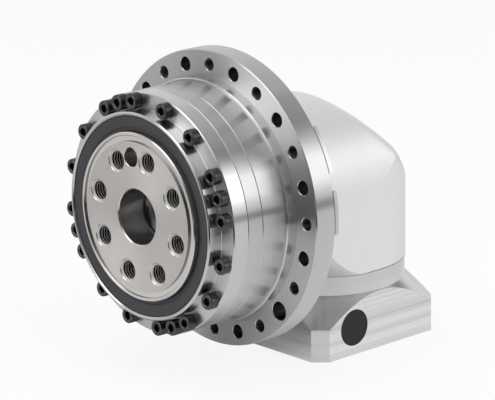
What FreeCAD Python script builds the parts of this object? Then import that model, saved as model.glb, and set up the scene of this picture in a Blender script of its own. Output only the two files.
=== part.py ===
import FreeCAD, Part
import math
import os

from FreeCAD import Placement, Rotation, Vector

# Right-angle cycloidal reducer, in millimetres.
# The output axis runs along Y and the output face looks towards -Y.
# The motor hangs below and its flange looks towards -Z.
# The origin is the centre of the mounting flange's front face.
# Angles round the output axis are counted from +Z towards +X.

# Output flange, as widths that stack outwards from the face
output_face_d = 95.0
channel_w = 3.5
channel_depth = 1.3
rim_w = 2.2
output_bolt_pcd = 75.0
output_bolt_count = 8
output_bolt_d = 14.0
output_bolt_depth = 19.0
output_bolt_chamfer = 0.45
output_bolt_angle = 15.95
output_dowel_d = 12.0
output_dowel_depth = 15.0
output_bore_d = 35.0
output_proud = 1.2

# Case rings, outwards from the seal and backwards from the nose
seal_w = 10.0
seal_depth = 8.4
seal_lip_depth = 3.0
seal_lip_w = 2.6
seal_lip_rise = 1.2
seal_crown_w = 1.2
seal_crown_depth = 0.8
nose_wall = 2.3
nose_len = 10.1
front_ring_t = 11.9
middle_ring_t = 11.8
housing_len = 18.6
pilot_step = 1.75
pilot_len = 8.0
flange_w = 17.0
flange_t = 16.0
edge_break = 0.7
seam_break = 0.35

# Mounting flange holes
flange_hole_inset = 9.0
flange_hole_count = 24
flange_tapped_d = 8.0
flange_clear_d = 9.0
flange_dowel_d = 12.0
flange_dowel_index = 9

# Case screws: M6 socket head, in four groups of five
screw_d = 6.0
screw_head_d = 10.0
screw_head_h = 6.0
screw_socket = 5.0
screw_head_gap = 0.75
case_screw_grip = 38.0
group_angle = -18.85
group_offsets = (-11.2, 0.0, 11.2, 33.9, 56.1)
screw_hole_gap = 0.2

# Main crossed-roller bearing, split at the joint of the two bearing rings
main_roller_d = 8.0
main_roller_l = 7.5
main_roller_count = 32
main_pitch_step = 2.8
main_ring_gap = 0.4

# Cycloid stage
ring_pin_count = 30
ring_pin_d = 6.0
ring_pin_wall = 5.25
eccentricity = 1.25
profile_clear = 0.10
tip_clear = 0.8
disc_t = 10.0
disc_gap = 1.0
disc_front_gap = 1.2
carrier_overhang = 1.4
output_pin_d = 10.0
output_pin_angle = -6.55
output_pin_seat = 12.0
output_roller_wall = 2.0
eccentric_d = 28.0
eccentric_roller_d = 6.0
eccentric_roller_count = 12
pin_shoulder_t = 2.2
pin_shoulder_lip = 1.7

# Rear carrier plate and its bearing
rear_plate_t = 15.0
rear_plate_gap = 1.2
rear_bearing_t = 13.0
rear_bearing_w = 12.5
rear_bearing_inset = 0.5
rear_roller_count = 24
carrier_screw_d = 6.0
carrier_screw_head_d = 10.0
carrier_screw_head_h = 6.0

# Eccentric shaft and its bearings
front_journal_d = 15.0
front_bearing_t = 11.0
front_roller_count = 8
spacer_t = 4.0
spacer_wall = 0.9
circlip_depth = 19.8
circlip_t = 1.5
circlip_groove = 1.0
rear_journal_d = 25.0
rear_shaft_bearing_w = 11.0
rear_shaft_bearing_t = 12.0
rear_shaft_roller_count = 10
stub_d = 20.0
stub_len = 26.0

# Elbow
elbow_reach = 79.8
motor_size = 110.0
crotch_bulge = 25.0
elbow_cut_offset = 29.3
elbow_cut_fillet = 12.0
elbow_flange_t = 12.0
elbow_screw_inset = 8.5
elbow_screw_count = 10
elbow_screw_grip = 22.0
elbow_spigot = 3.0
elbow_chamber_r = 44.0
ear_t = 2.7
ear_start = 53.3
ear_end = 95.0
ear_slot_w = 11.0
ear_slot_index = 5

# Bevel gears
gear_teeth = 27
pinion_teeth = 18
bevel_module = 2.2
bevel_face_share = 0.3
pressure_angle = 20.0
bevel_backlash = 0.12
gear_seat_d = 28.0
pinion_seat_d = 18.0

# Gear shaft in the elbow
gear_journal_d = 40.0
gear_bearing_w = 14.0
gear_bearing_t = 15.0
gear_roller_count = 12
gear_tube_d = 34.0
gear_collar = 2.5

# Input shaft and motor side
joint_step = 0.6
collar_len = 13.2
collar_inset = 0.5
motor_drop = 107.6
corner_chamfer = 8.35
input_journal_d = 30.0
input_bearing_w = 12.5
input_bearing_t = 13.0
input_roller_count = 10
input_bearing_space = 7.0
upper_bearing_top = 38.0
motor_pilot_d = 95.0
motor_pilot_depth = 6.0
motor_room_inset = 1.5
motor_bolt_pcd = 115.0
motor_bolt_d = 8.0
motor_bolt_depth = 18.0
motor_shaft_d = 22.0
motor_shaft_depth = 36.0
clamp_hub_gap = 0.5
clamp_hub_len = 21.0
clamp_hub_lift = 7.6
clamp_hub_end_gap = 1.0
clamp_slot_w = 2.0
clamp_screw_d = 8.0
clamp_screw_head_d = 13.0
clamp_screw_head_h = 8.0
clamp_screw_len = 27.0
clamp_head_seat = 9.0
clamp_screw_inset = 9.5
clamp_screw_lift = 18.2
input_neck_d = 40.0
input_seal_w = 6.0
input_seal_t = 5.6
adapter_screw_count = 8
adapter_screw_bite = 11.6
adapter_screw_gap = 1.5
plug_d = 24.0
plug_recess = 0.4
plug_end_gap = 0.6

# Shares of a bearing's section
plain_race_share = 0.3125
taper_roller_share = 0.34
taper_tilt = 14.0

# Clearances
seat_clear = 0.02
run_clear = 0.05
race_clear = 0.03
roller_end_gap = 0.3

# Radii that follow from the widths
face_r = output_face_d / 2
rim_r = face_r + channel_w + rim_w
seal_r = rim_r + seal_w
nose_r = seal_r + nose_wall
screw_circle_r = nose_r + screw_head_d / 2 + screw_head_gap
case_r = screw_circle_r + screw_head_d / 2
pilot_r = case_r + pilot_step
flange_r = pilot_r + flange_w
flange_circle_r = flange_r - flange_hole_inset
main_pitch_r = rim_r + main_pitch_step
ring_pin_r = ring_pin_d / 2
pin_circle_r = screw_circle_r - screw_d / 2 - ring_pin_wall - ring_pin_r
housing_bore_r = pin_circle_r + 2 * eccentricity - ring_pin_r + tip_clear
rear_bearing_r = pin_circle_r + ring_pin_r - rear_bearing_inset
rear_plate_r = rear_bearing_r - rear_bearing_w
output_circle_r = output_bolt_pcd / 2
output_roller_r = output_pin_d / 2 + output_roller_wall
output_bore_r = output_bore_d / 2
elbow_r = motor_size / 2
joint_drop = elbow_r + joint_step
elbow_screw_circle_r = pilot_r - elbow_screw_inset
gear_bearing_r = gear_journal_d / 2 + gear_bearing_w
input_bearing_r = input_journal_d / 2 + input_bearing_w
gear_pitch_r = bevel_module * gear_teeth / 2
pinion_pitch_r = bevel_module * pinion_teeth / 2
motor_room_r = motor_pilot_d / 2 - motor_room_inset
adapter_circle_r = motor_room_r - screw_head_d / 2 - adapter_screw_gap
clamp_hub_r = adapter_circle_r - screw_head_d / 2 - clamp_hub_gap
clamp_screw_offset = clamp_hub_r - clamp_screw_inset
plug_t = elbow_r - plug_recess - plug_end_gap - motor_room_r

# Places along the output axis
y_housing = -pilot_len - housing_len
y_split = y_housing - middle_ring_t
y_seat = y_split - front_ring_t
y_nose = y_seat - nose_len
y_face = y_nose - output_proud
y_flange_rear = flange_t
y_carrier_rear = y_housing + carrier_overhang
y_disc_front = y_carrier_rear + disc_front_gap
y_disc_rear = y_disc_front + disc_t + disc_gap
y_rear_plate = y_disc_rear + disc_t + rear_plate_gap
y_rear_bearing = y_flange_rear - elbow_spigot - rear_bearing_t - seat_clear
y_pin_shoulder = y_rear_bearing - pin_shoulder_t
y_circlip = y_face + circlip_depth
y_spacer = y_circlip + circlip_t
y_front_bearing = y_spacer + spacer_t
y_rear_shaft_bearing = y_rear_plate + rear_plate_t - rear_shaft_bearing_t - edge_break
y_axis = y_flange_rear + elbow_reach
y_gear_bearing_end = y_axis - pinion_pitch_r - bevel_module * 6
y_gear_bearing = y_gear_bearing_end - gear_bearing_t

# Places below the output axis
z_joint = -joint_drop
z_collar = z_joint - collar_len
z_motor = -motor_drop
z_upper_bearing = -upper_bearing_top - input_bearing_t
z_lower_bearing = z_upper_bearing - input_bearing_space - input_bearing_t
z_clamp_screw = z_motor + clamp_screw_lift
z_hub_bottom = z_motor + clamp_hub_lift
z_hub_top = z_hub_bottom + clamp_hub_len
z_ceiling = z_hub_top + clamp_hub_end_gap
adapter_screw_grip = z_joint - z_ceiling + adapter_screw_bite


def along_y(radius, start, length, x=0.0, z=0.0):
    return Part.makeCylinder(radius, length, Vector(x, start, z), Vector(0, 1, 0))


def along_z(radius, start, length, x=0.0, y=0.0):
    return Part.makeCylinder(radius, length, Vector(x, y_axis + y, start), Vector(0, 0, 1))


def along_x(radius, start, length, y, z):
    return Part.makeCylinder(radius, length, Vector(start, y, z), Vector(1, 0, 0))


def polar(radius, degrees, y=0.0):
    turn = math.radians(degrees)
    return Vector(radius * math.sin(turn), y, radius * math.cos(turn))


def even_angles(count, first=0.0):
    return [first + 360.0 * k / count for k in range(count)]


def turned(profile):
    """Turns a closed outline of (radius, y) points round the output axis."""
    points = [Vector(r, y, 0) for r, y in profile]
    face = Part.Face(Part.makePolygon(points + points[:1]))
    return face.revolve(Vector(0, 0, 0), Vector(0, 1, 0), 360)


def turned_upright(profile):
    """Turns a closed outline of (radius, z) points round the input axis."""
    points = [Vector(r, 0, z) for r, z in profile]
    face = Part.Face(Part.makePolygon(points + points[:1]))
    solid = face.revolve(Vector(0, 0, 0), Vector(0, 0, 1), 360)
    solid.translate(Vector(0, y_axis, 0))
    return solid


def sleeve(inner_r, outer_r, start, length):
    end = start + length
    return turned([(inner_r, start), (outer_r, start), (outer_r, end), (inner_r, end)])


def sleeve_upright(inner_r, outer_r, start, length):
    end = start + length
    return turned_upright([(inner_r, start), (outer_r, start), (outer_r, end), (inner_r, end)])


def prism(points, direction):
    return Part.Face(Part.makePolygon(points + points[:1])).extrude(direction)


def ring_of(shape, angles, centre=Vector(0, 0, 0), axis=Vector(0, 1, 0)):
    copies = []
    for angle in angles:
        copy = shape.copy()
        copy.rotate(centre, axis, angle)
        copies.append(copy)
    return Part.makeCompound(copies)


def holes(radius, circle_r, angles, start, length):
    return ring_of(along_y(radius, start, length, 0, circle_r), angles)


def chamfered_holes(radius, chamfer, circle_r, angles, start, length):
    """Blind or through holes from a face that looks towards -Y, with a countersunk mouth."""
    mouth = Part.makeCone(radius + chamfer, radius, chamfer, Vector(0, start, circle_r), Vector(0, 1, 0))
    hole = along_y(radius, start, length, 0, circle_r).fuse(mouth)
    return ring_of(hole, angles)


def cap_screw(diameter, grip, head_d, head_h, socket):
    """A socket head cap screw along +Y: the head's seat is at y = 0."""
    body = turned([
        (0, -head_h),
        (head_d / 2 - seam_break, -head_h),
        (head_d / 2, -head_h + seam_break),
        (head_d / 2, 0),
        (diameter / 2, 0),
        (diameter / 2, grip),
        (0, grip),
    ])
    corner = socket / math.sqrt(3)
    hexagon = [polar(corner, angle, -head_h) for angle in even_angles(6)]
    return body.cut(prism(hexagon, Vector(0, head_h / 2, 0)))


def plain_bearing_set(inner_r, outer_r, start, length, count):
    """Inner ring, outer ring and cylindrical rollers of a bearing on the output axis."""
    race_t = (outer_r - inner_r) * plain_race_share
    roller_r = (outer_r - inner_r) / 2 - race_t
    inner = sleeve(inner_r, inner_r + race_t, start, length)
    outer = sleeve(outer_r - race_t, outer_r, start, length)
    pitch_r = inner_r + race_t + roller_r
    roller_l = length - 2 * roller_end_gap
    roller = along_y(roller_r - race_clear, start + roller_end_gap, roller_l, 0, pitch_r)
    return inner, outer, ring_of(roller, even_angles(count))


def taper_bearing_set(inner_r, outer_r, start, length, count, opens):
    """Inner ring, outer ring and tapered rollers along +Y; opens is +1 where the cup widens towards +Y."""
    middle = start + length / 2
    pitch_r = (inner_r + outer_r) / 2
    roller_r = (outer_r - inner_r) * taper_roller_share / 2
    apex = pitch_r / math.tan(math.radians(taper_tilt))
    half_cone = math.degrees(math.asin(roller_r * math.sin(math.radians(taper_tilt)) / pitch_r))

    def race_r(y, side):
        distance = apex + opens * (y - middle)
        return distance * math.tan(math.radians(taper_tilt + side * half_cone))

    end = start + length
    inner = turned([
        (inner_r, start),
        (race_r(start, -1) - race_clear, start),
        (race_r(end, -1) - race_clear, end),
        (inner_r, end),
    ])
    outer = turned([
        (race_r(start, 1) + race_clear, start),
        (outer_r, start),
        (outer_r, end),
        (race_r(end, 1) + race_clear, end),
    ])
    reach = length / 2 - roller_end_gap - roller_r * math.sin(math.radians(taper_tilt))
    spread = reach * math.tan(math.radians(half_cone))
    roller = Part.makeCone(roller_r - spread, roller_r + spread, 2 * reach, Vector(0, 0, -reach))
    tilt = math.radians(taper_tilt)
    lean = Vector(0, opens * math.cos(tilt), math.sin(tilt))
    roller.Placement = Placement(Vector(0, middle, pitch_r), Rotation(Vector(0, 0, 1), lean))
    return inner, outer, ring_of(roller, even_angles(count))


def upright(shape, z_start, length):
    """Moves a shape built along +Y from y = 0 onto the input axis, its start at the top."""
    shape.rotate(Vector(0, 0, 0), Vector(1, 0, 0), -90)
    shape.translate(Vector(0, y_axis, z_start + length))
    return shape


def race_ring():
    """The square ring that the crossed rollers run in, standing on its corner."""
    corner = (main_roller_d / 2 + race_clear) * math.sqrt(2)
    return turned([
        (main_pitch_r - corner, y_split),
        (main_pitch_r, y_split - corner),
        (main_pitch_r + corner, y_split),
        (main_pitch_r, y_split + corner),
    ])


def output_flange():
    carrier_r = main_pitch_r - main_ring_gap
    y_shoulder = y_nose + seal_depth + edge_break
    body = turned([
        (output_bore_r, y_face + edge_break),
        (output_bore_r + edge_break, y_face),
        (face_r, y_face),
        (face_r, y_face + channel_depth),
        (face_r + channel_w, y_face + channel_depth),
        (face_r + channel_w, y_face + seam_break),
        (face_r + channel_w + seam_break, y_face),
        (rim_r - edge_break, y_face),
        (rim_r, y_face + edge_break),
        (rim_r, y_shoulder),
        (carrier_r, y_shoulder),
        (carrier_r, y_carrier_rear),
        (output_bore_r, y_carrier_rear),
    ])
    bolt_angles = even_angles(output_bolt_count, output_bolt_angle)
    pin_angles = even_angles(output_bolt_count, output_pin_angle)
    groove = sleeve(0, output_bore_r + circlip_groove, y_circlip, circlip_t + 2 * seat_clear)
    y_pin_seat = y_carrier_rear - output_pin_seat
    cuts = [
        race_ring(),
        chamfered_holes(output_bolt_d / 2, output_bolt_chamfer, output_circle_r, bolt_angles,
                        y_face, output_bolt_depth),
        chamfered_holes(output_dowel_d / 2, seam_break, output_circle_r, [output_pin_angle],
                        y_face, output_dowel_depth),
        holes(output_pin_d / 2 + seat_clear, output_circle_r, pin_angles, y_pin_seat, output_pin_seat),
        groove,
    ]
    return body.cut(cuts)


def output_seal():
    inner_r = rim_r + run_clear
    outer_r = seal_r - seat_clear
    y_groove = y_nose + seal_lip_depth - seal_lip_rise / 2
    y_crown = y_nose + seal_crown_depth
    y_rear = y_nose + seal_depth - seat_clear
    return turned([
        (inner_r, y_nose + seal_lip_depth),
        (inner_r + seal_lip_rise / 2, y_groove),
        (inner_r + seal_lip_w - seal_lip_rise / 2, y_groove),
        (inner_r + seal_lip_w, y_groove - seal_lip_rise / 2),
        (outer_r - seal_crown_w, y_crown),
        (outer_r, y_crown + seal_crown_w / 2),
        (outer_r, y_rear),
        (inner_r, y_rear),
    ])


def case_screw_angles():
    return [group_angle + quarter + offset for quarter in even_angles(4) for offset in group_offsets]


def case_screw_holes():
    radius = screw_d / 2 + screw_hole_gap
    return holes(radius, screw_circle_r, case_screw_angles(), y_seat, case_screw_grip + edge_break)


def front_ring():
    bore_r = main_pitch_r + main_ring_gap
    body = turned([
        (seal_r, y_nose + edge_break),
        (seal_r + edge_break, y_nose),
        (nose_r - edge_break, y_nose),
        (nose_r, y_nose + edge_break),
        (nose_r, y_seat),
        (case_r - edge_break, y_seat),
        (case_r, y_seat + edge_break),
        (case_r, y_split - seam_break),
        (case_r - seam_break, y_split),
        (bore_r, y_split),
        (bore_r, y_nose + seal_depth),
        (seal_r, y_nose + seal_depth),
    ])
    return body.cut([race_ring(), case_screw_holes()])


def middle_ring():
    bore_r = main_pitch_r + main_ring_gap
    body = turned([
        (bore_r, y_split),
        (case_r - seam_break, y_split),
        (case_r, y_split + seam_break),
        (case_r, y_housing - seam_break),
        (case_r - seam_break, y_housing),
        (bore_r, y_housing),
    ])
    return body.cut([race_ring(), case_screw_holes()])


def flange_hole_angles(first, step):
    pitch = 360.0 / flange_hole_count
    return [pitch * k for k in range(first, flange_hole_count, step) if k != flange_dowel_index]


def flange_holes(diameter, angles):
    return chamfered_holes(diameter / 2, seam_break, flange_circle_r, angles, 0, flange_t)


def pin_housing():
    """The toothless ring gear: half-round grooves that seat the ring pins, pilot and mounting flange."""
    lip_r = housing_bore_r - pin_shoulder_lip
    body = turned([
        (housing_bore_r, y_housing),
        (case_r - seam_break, y_housing),
        (case_r, y_housing + seam_break),
        (case_r, -pilot_len),
        (pilot_r - edge_break, -pilot_len),
        (pilot_r, -pilot_len + edge_break),
        (pilot_r, 0),
        (flange_r - edge_break, 0),
        (flange_r, edge_break),
        (flange_r, y_flange_rear - edge_break),
        (flange_r - edge_break, y_flange_rear),
        (rear_bearing_r + seat_clear, y_flange_rear),
        (rear_bearing_r + seat_clear, y_rear_bearing),
        (lip_r, y_rear_bearing),
        (lip_r, y_pin_shoulder),
        (housing_bore_r, y_pin_shoulder),
    ])
    dowel_angle = 360.0 * flange_dowel_index / flange_hole_count
    elbow_screw_depth = elbow_screw_grip - elbow_flange_t + edge_break
    cuts = [
        holes(ring_pin_r + seat_clear, pin_circle_r, even_angles(ring_pin_count), y_housing,
              y_pin_shoulder - y_housing),
        case_screw_holes(),
        flange_holes(flange_tapped_d, flange_hole_angles(0, 2)),
        flange_holes(flange_clear_d, flange_hole_angles(1, 2)),
        flange_holes(flange_dowel_d, [dowel_angle]),
        holes(screw_d / 2 + screw_hole_gap, elbow_screw_circle_r, elbow_screw_angles(),
              y_flange_rear - elbow_screw_depth, elbow_screw_depth),
    ]
    return body.cut(cuts)


def ring_pins():
    length = y_pin_shoulder - y_housing - 2 * seat_clear
    pin = along_y(ring_pin_r, y_housing + seat_clear, length, 0, pin_circle_r)
    return ring_of(pin, even_angles(ring_pin_count))


def main_rollers():
    """Crossed rollers: each leans the other way to its neighbours."""
    rollers = []
    for k, angle in enumerate(even_angles(main_roller_count)):
        lean = 1 if k % 2 == 0 else -1
        tilt = Vector(0, lean, 1)
        tilt.normalize()
        middle = Vector(0, y_split, main_pitch_r)
        base = middle - tilt * (main_roller_l / 2)
        roller = Part.makeCylinder(main_roller_d / 2, main_roller_l, base, tilt)
        roller.rotate(Vector(0, 0, 0), Vector(0, 1, 0), angle)
        rollers.append(roller)
    return Part.makeCompound(rollers)


def cycloid_outline():
    """The disc's lobed outline about its own centre, with a valley at +Z."""
    lobes = ring_pin_count - 1
    steps = 12 * lobes
    offset = ring_pin_r + profile_clear
    points = []
    for k in range(steps):
        t = 2 * math.pi * k / steps
        x = pin_circle_r * math.sin(t) - eccentricity * math.sin(ring_pin_count * t)
        z = pin_circle_r * math.cos(t) - eccentricity * math.cos(ring_pin_count * t)
        dx = pin_circle_r * math.cos(t) - ring_pin_count * eccentricity * math.cos(ring_pin_count * t)
        dz = -pin_circle_r * math.sin(t) + ring_pin_count * eccentricity * math.sin(ring_pin_count * t)
        slope = math.hypot(dx, dz)
        points.append(Vector(x + offset * dz / slope, 0, z - offset * dx / slope))
    curve = Part.BSplineCurve()
    curve.interpolate(points, PeriodicFlag=True)
    return Part.Face(Part.Wire(curve.toShape()))


def cycloid_disc(y_start, lean):
    """A cycloid disc, moved off the output axis by the eccentricity towards lean degrees."""
    disc = cycloid_outline().extrude(Vector(0, disc_t, 0))
    hole_r = output_roller_r + eccentricity + run_clear
    bore_r = eccentric_d / 2 + eccentric_roller_d + 2 * race_clear
    pin_angles = even_angles(output_bolt_count, output_pin_angle - lean)
    disc = disc.cut([along_y(bore_r, 0, disc_t), holes(hole_r, output_circle_r, pin_angles, 0, disc_t)])
    disc.rotate(Vector(0, 0, 0), Vector(0, 1, 0), lean)
    disc.translate(polar(eccentricity, lean, y_start))
    return disc


def eccentric_rollers(y_start, lean):
    pitch_r = (eccentric_d + eccentric_roller_d) / 2 + race_clear
    length = disc_t - 2 * roller_end_gap
    roller = along_y(eccentric_roller_d / 2, y_start + roller_end_gap, length, 0, pitch_r)
    rollers = ring_of(roller, even_angles(eccentric_roller_count))
    rollers.translate(polar(eccentricity, lean))
    return rollers


def output_pins():
    start = y_carrier_rear - output_pin_seat
    end = y_rear_plate + rear_plate_t - carrier_screw_head_h - edge_break
    pin = along_y(output_pin_d / 2, start, end - start, 0, output_circle_r)
    thread = along_y(carrier_screw_d / 2 + seat_clear, y_disc_rear, end - y_disc_rear, 0, output_circle_r)
    return ring_of(pin.cut(thread), even_angles(output_bolt_count, output_pin_angle))


def output_rollers():
    rollers = []
    for y_start in (y_disc_front, y_disc_rear):
        tube = sleeve(output_pin_d / 2 + run_clear, output_roller_r, y_start, disc_t)
        tube.translate(Vector(0, 0, output_circle_r))
        rollers.append(ring_of(tube, even_angles(output_bolt_count, output_pin_angle)))
    return Part.makeCompound([roller for ring in rollers for roller in ring.Solids])


def rear_plate():
    """The rear half of the carrier, seated on the output pins."""
    seat_r = rear_journal_d / 2 + rear_shaft_bearing_w
    end = y_rear_plate + rear_plate_t
    body = turned([
        (seat_r - screw_d / 2, y_rear_plate),
        (rear_plate_r - edge_break, y_rear_plate),
        (rear_plate_r, y_rear_plate + edge_break),
        (rear_plate_r, end - edge_break),
        (rear_plate_r - edge_break, end),
        (seat_r + seat_clear, end),
        (seat_r + seat_clear, y_rear_shaft_bearing),
        (seat_r - screw_d / 2, y_rear_shaft_bearing),
    ])
    angles = even_angles(output_bolt_count, output_pin_angle)
    y_head = end - carrier_screw_head_h - edge_break
    cuts = [
        holes(output_pin_d / 2 + seat_clear, output_circle_r, angles, y_rear_plate, y_head - y_rear_plate),
        holes(carrier_screw_head_d / 2 + screw_hole_gap, output_circle_r, angles, y_head, end - y_head),
    ]
    return body.cut(cuts)


def carrier_screws():
    """Screws that thread into the output pins, their heads in the rear plate's counterbores."""
    y_head = y_rear_plate + rear_plate_t - carrier_screw_head_h - edge_break
    grip = y_head - y_disc_rear - edge_break
    screw = cap_screw(carrier_screw_d, grip, carrier_screw_head_d, carrier_screw_head_h, screw_socket)
    screw.rotate(Vector(0, 0, 0), Vector(1, 0, 0), 180)
    screw.translate(Vector(0, y_head, output_circle_r))
    return ring_of(screw, even_angles(output_bolt_count, output_pin_angle))


def eccentric_shaft():
    journal_r = front_journal_d / 2
    y_journal_end = y_front_bearing + front_bearing_t
    y_rear_shoulder = y_disc_rear + disc_t + roller_end_gap
    y_rear_end = y_rear_shaft_bearing + rear_shaft_bearing_t
    collar_r = eccentric_d / 2 + eccentricity * 3
    shoulder_r = rear_journal_d / 2 + edge_break * 3
    body = turned([
        (0, y_front_bearing - edge_break * 2),
        (journal_r - edge_break, y_front_bearing - edge_break * 2),
        (journal_r, y_front_bearing - edge_break),
        (journal_r, y_journal_end),
        (journal_r + edge_break * 3, y_journal_end),
        (journal_r + edge_break * 3, y_rear_shoulder),
        (collar_r, y_rear_shoulder),
        (collar_r, y_rear_plate),
        (shoulder_r, y_rear_plate),
        (shoulder_r, y_rear_shaft_bearing),
        (rear_journal_d / 2, y_rear_shaft_bearing),
        (rear_journal_d / 2, y_rear_end),
        (stub_d / 2, y_rear_end),
        (stub_d / 2, y_rear_end + stub_len - edge_break),
        (stub_d / 2 - edge_break, y_rear_end + stub_len),
        (0, y_rear_end + stub_len),
    ])
    throws = []
    for y_start, lean in ((y_disc_front, 0), (y_disc_rear, 180)):
        throw = along_y(eccentric_d / 2, y_start - roller_end_gap, disc_t + 2 * roller_end_gap)
        throw.translate(polar(eccentricity, lean))
        throws.append(throw)
    return body.fuse(throws).removeSplitter()


def front_circlip():
    """Retaining ring in the bore's groove, open at the bottom with two eyes."""
    inner_r = output_bore_r - spacer_wall
    y_start = y_circlip + seat_clear
    ring = sleeve(inner_r, output_bore_r + circlip_groove - seat_clear, y_start, circlip_t)
    eye_r = circlip_t
    eye_turn = math.degrees(2.2 * eye_r / inner_r)
    eye_angles = [180 - eye_turn, 180 + eye_turn]
    eye_circle_r = inner_r - eye_r / 3
    eyes = holes(eye_r, eye_circle_r, eye_angles, y_start, circlip_t)
    corner = Vector(-eye_r, y_circlip, -2 * output_bore_r)
    gap = Part.makeBox(2 * eye_r, circlip_t * 2, output_bore_r * 2, corner)
    pins = holes(eye_r / 2, eye_circle_r, eye_angles, y_circlip, circlip_t * 2)
    return ring.fuse(eyes).cut([gap, pins])


def elbow_screw_angles():
    return even_angles(elbow_screw_count, 180.0 / elbow_screw_count)


def cut_block():
    """Half space behind the elbow's 45 degree back."""
    normal = Vector(0, 1, 1)
    normal.normalize()
    size = 4 * elbow_r
    block = Part.makeBox(size, size, size, Vector(-size / 2, -size / 2, 0))
    corner = Vector(0, y_axis, 0) + normal * elbow_cut_offset
    block.Placement = Placement(corner, Rotation(Vector(0, 0, 1), normal))
    return block


def back_edges(shape):
    """Edges that bound the 45 degree back."""
    normal = Vector(0, 1, 1)
    normal.normalize()
    found = []
    for edge in shape.Edges:
        ends = [edge.FirstParameter, (edge.FirstParameter + edge.LastParameter) / 2]
        heights = [(edge.valueAt(end) - Vector(0, y_axis, 0)).dot(normal) for end in ends]
        if all(abs(height - elbow_cut_offset) < seat_clear for height in heights):
            found.append(edge)
    return found


def elbow_outside():
    """Two equal tubes that meet at right angles, a sphere in the crotch and a rounded 45 degree back."""
    upright_tube = along_z(elbow_r, z_joint, joint_drop)
    level_tube = along_y(elbow_r, y_flange_rear, elbow_reach)
    upper = along_y(elbow_r, y_axis - edge_break, elbow_r + edge_break)
    dome = upper.common(along_z(elbow_r, z_joint, joint_drop + elbow_r))
    crotch_depth = elbow_reach - elbow_flange_t
    corner = Vector(-elbow_r, y_axis - crotch_depth, z_joint)
    room = Part.makeBox(2 * elbow_r, crotch_depth, joint_drop, corner)
    crotch = Part.makeSphere(elbow_r + crotch_bulge, Vector(0, y_axis, 0)).common(room)
    shell = dome.fuse([level_tube, upright_tube, crotch]).removeSplitter()
    shell = shell.cut(cut_block())
    return shell.makeFillet(elbow_cut_fillet, back_edges(shell))


def elbow_ears():
    """Thin ears that reach the flange's rim on both sides, slotted where a mounting screw passes."""
    disc = along_y(flange_r, y_flange_rear, ear_t)
    far = 2 * flange_r
    middle = (ear_start + ear_end) / 2
    wedges = []
    for side in (1, -1):
        corners = [polar(far, side * angle, y_flange_rear) for angle in (ear_start, middle, ear_end)]
        wedges.append(prism([Vector(0, y_flange_rear, 0)] + corners, Vector(0, ear_t, 0)))
    ears = disc.common(wedges[0]).fuse(disc.common(wedges[1]))
    slot_angle = 360.0 * ear_slot_index / flange_hole_count
    pitch = 360.0 / flange_hole_count
    slot_r = ear_slot_w / 2
    slot = along_y(slot_r, y_flange_rear, ear_t, 0, flange_circle_r)
    mouth = Part.makeBox(2 * slot_r, ear_t, flange_r, Vector(-slot_r, y_flange_rear, flange_circle_r))
    slots = ring_of(slot.fuse(mouth), [slot_angle, -slot_angle])
    near = [slot_angle - pitch, slot_angle + pitch]
    both = near + [-angle for angle in near]
    return ears.cut([slots, holes(flange_clear_d / 2, flange_circle_r, both, y_flange_rear, ear_t)])


def elbow_housing():
    flange = along_y(pilot_r, y_flange_rear, elbow_flange_t)
    spigot = along_y(rear_bearing_r - seat_clear, y_flange_rear - elbow_spigot, elbow_spigot)
    body = elbow_outside().fuse([flange, spigot, elbow_ears()]).removeSplitter()
    y_front = y_flange_rear - elbow_spigot
    y_web = y_gear_bearing - circlip_t - 2 * seat_clear
    gear_r = gear_pitch_r + bevel_module * 1.6
    pinion_r = pinion_pitch_r + bevel_module * 2
    seat_r = input_bearing_r + seat_clear
    relief_r = rear_bearing_r - rear_bearing_w / 3
    cuts = [
        along_y(relief_r, y_front, elbow_spigot + edge_break * 2),
        along_y(elbow_chamber_r, y_front, y_web - edge_break * 4 - y_front),
        along_y(gear_bearing_r + seat_clear, y_front, y_gear_bearing_end - y_front),
        along_y(gear_bearing_r + circlip_groove, y_web, circlip_t + seat_clear),
        along_y(gear_r, y_gear_bearing, y_axis + edge_break - y_gear_bearing),
        along_z(pinion_r, z_joint, joint_drop - bevel_module * 6),
        along_z(seat_r, z_joint, z_upper_bearing + input_bearing_t - z_joint),
        holes(screw_d / 2 + screw_hole_gap, elbow_screw_circle_r, elbow_screw_angles(),
              y_flange_rear, elbow_flange_t),
        adapter_screw_holes(),
    ]
    return body.cut(cuts)


def elbow_screws():
    screw = cap_screw(screw_d, elbow_screw_grip, screw_head_d, screw_head_h, screw_socket)
    screw.rotate(Vector(0, 0, 0), Vector(1, 0, 0), 180)
    screw.translate(Vector(0, y_flange_rear + elbow_flange_t, elbow_screw_circle_r))
    return ring_of(screw, elbow_screw_angles())


def elbow_circlip():
    y_start = y_gear_bearing - circlip_t - seat_clear
    outer_r = gear_bearing_r + circlip_groove - seat_clear
    ring = sleeve(gear_bearing_r - circlip_groove * 3, outer_r, y_start, circlip_t)
    corner = Vector(-gear_bearing_r / 6, y_start - circlip_t / 2, -2 * outer_r)
    gap = Part.makeBox(gear_bearing_r / 3, circlip_t * 2, outer_r * 2, corner)
    return ring.cut(gap)


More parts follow.
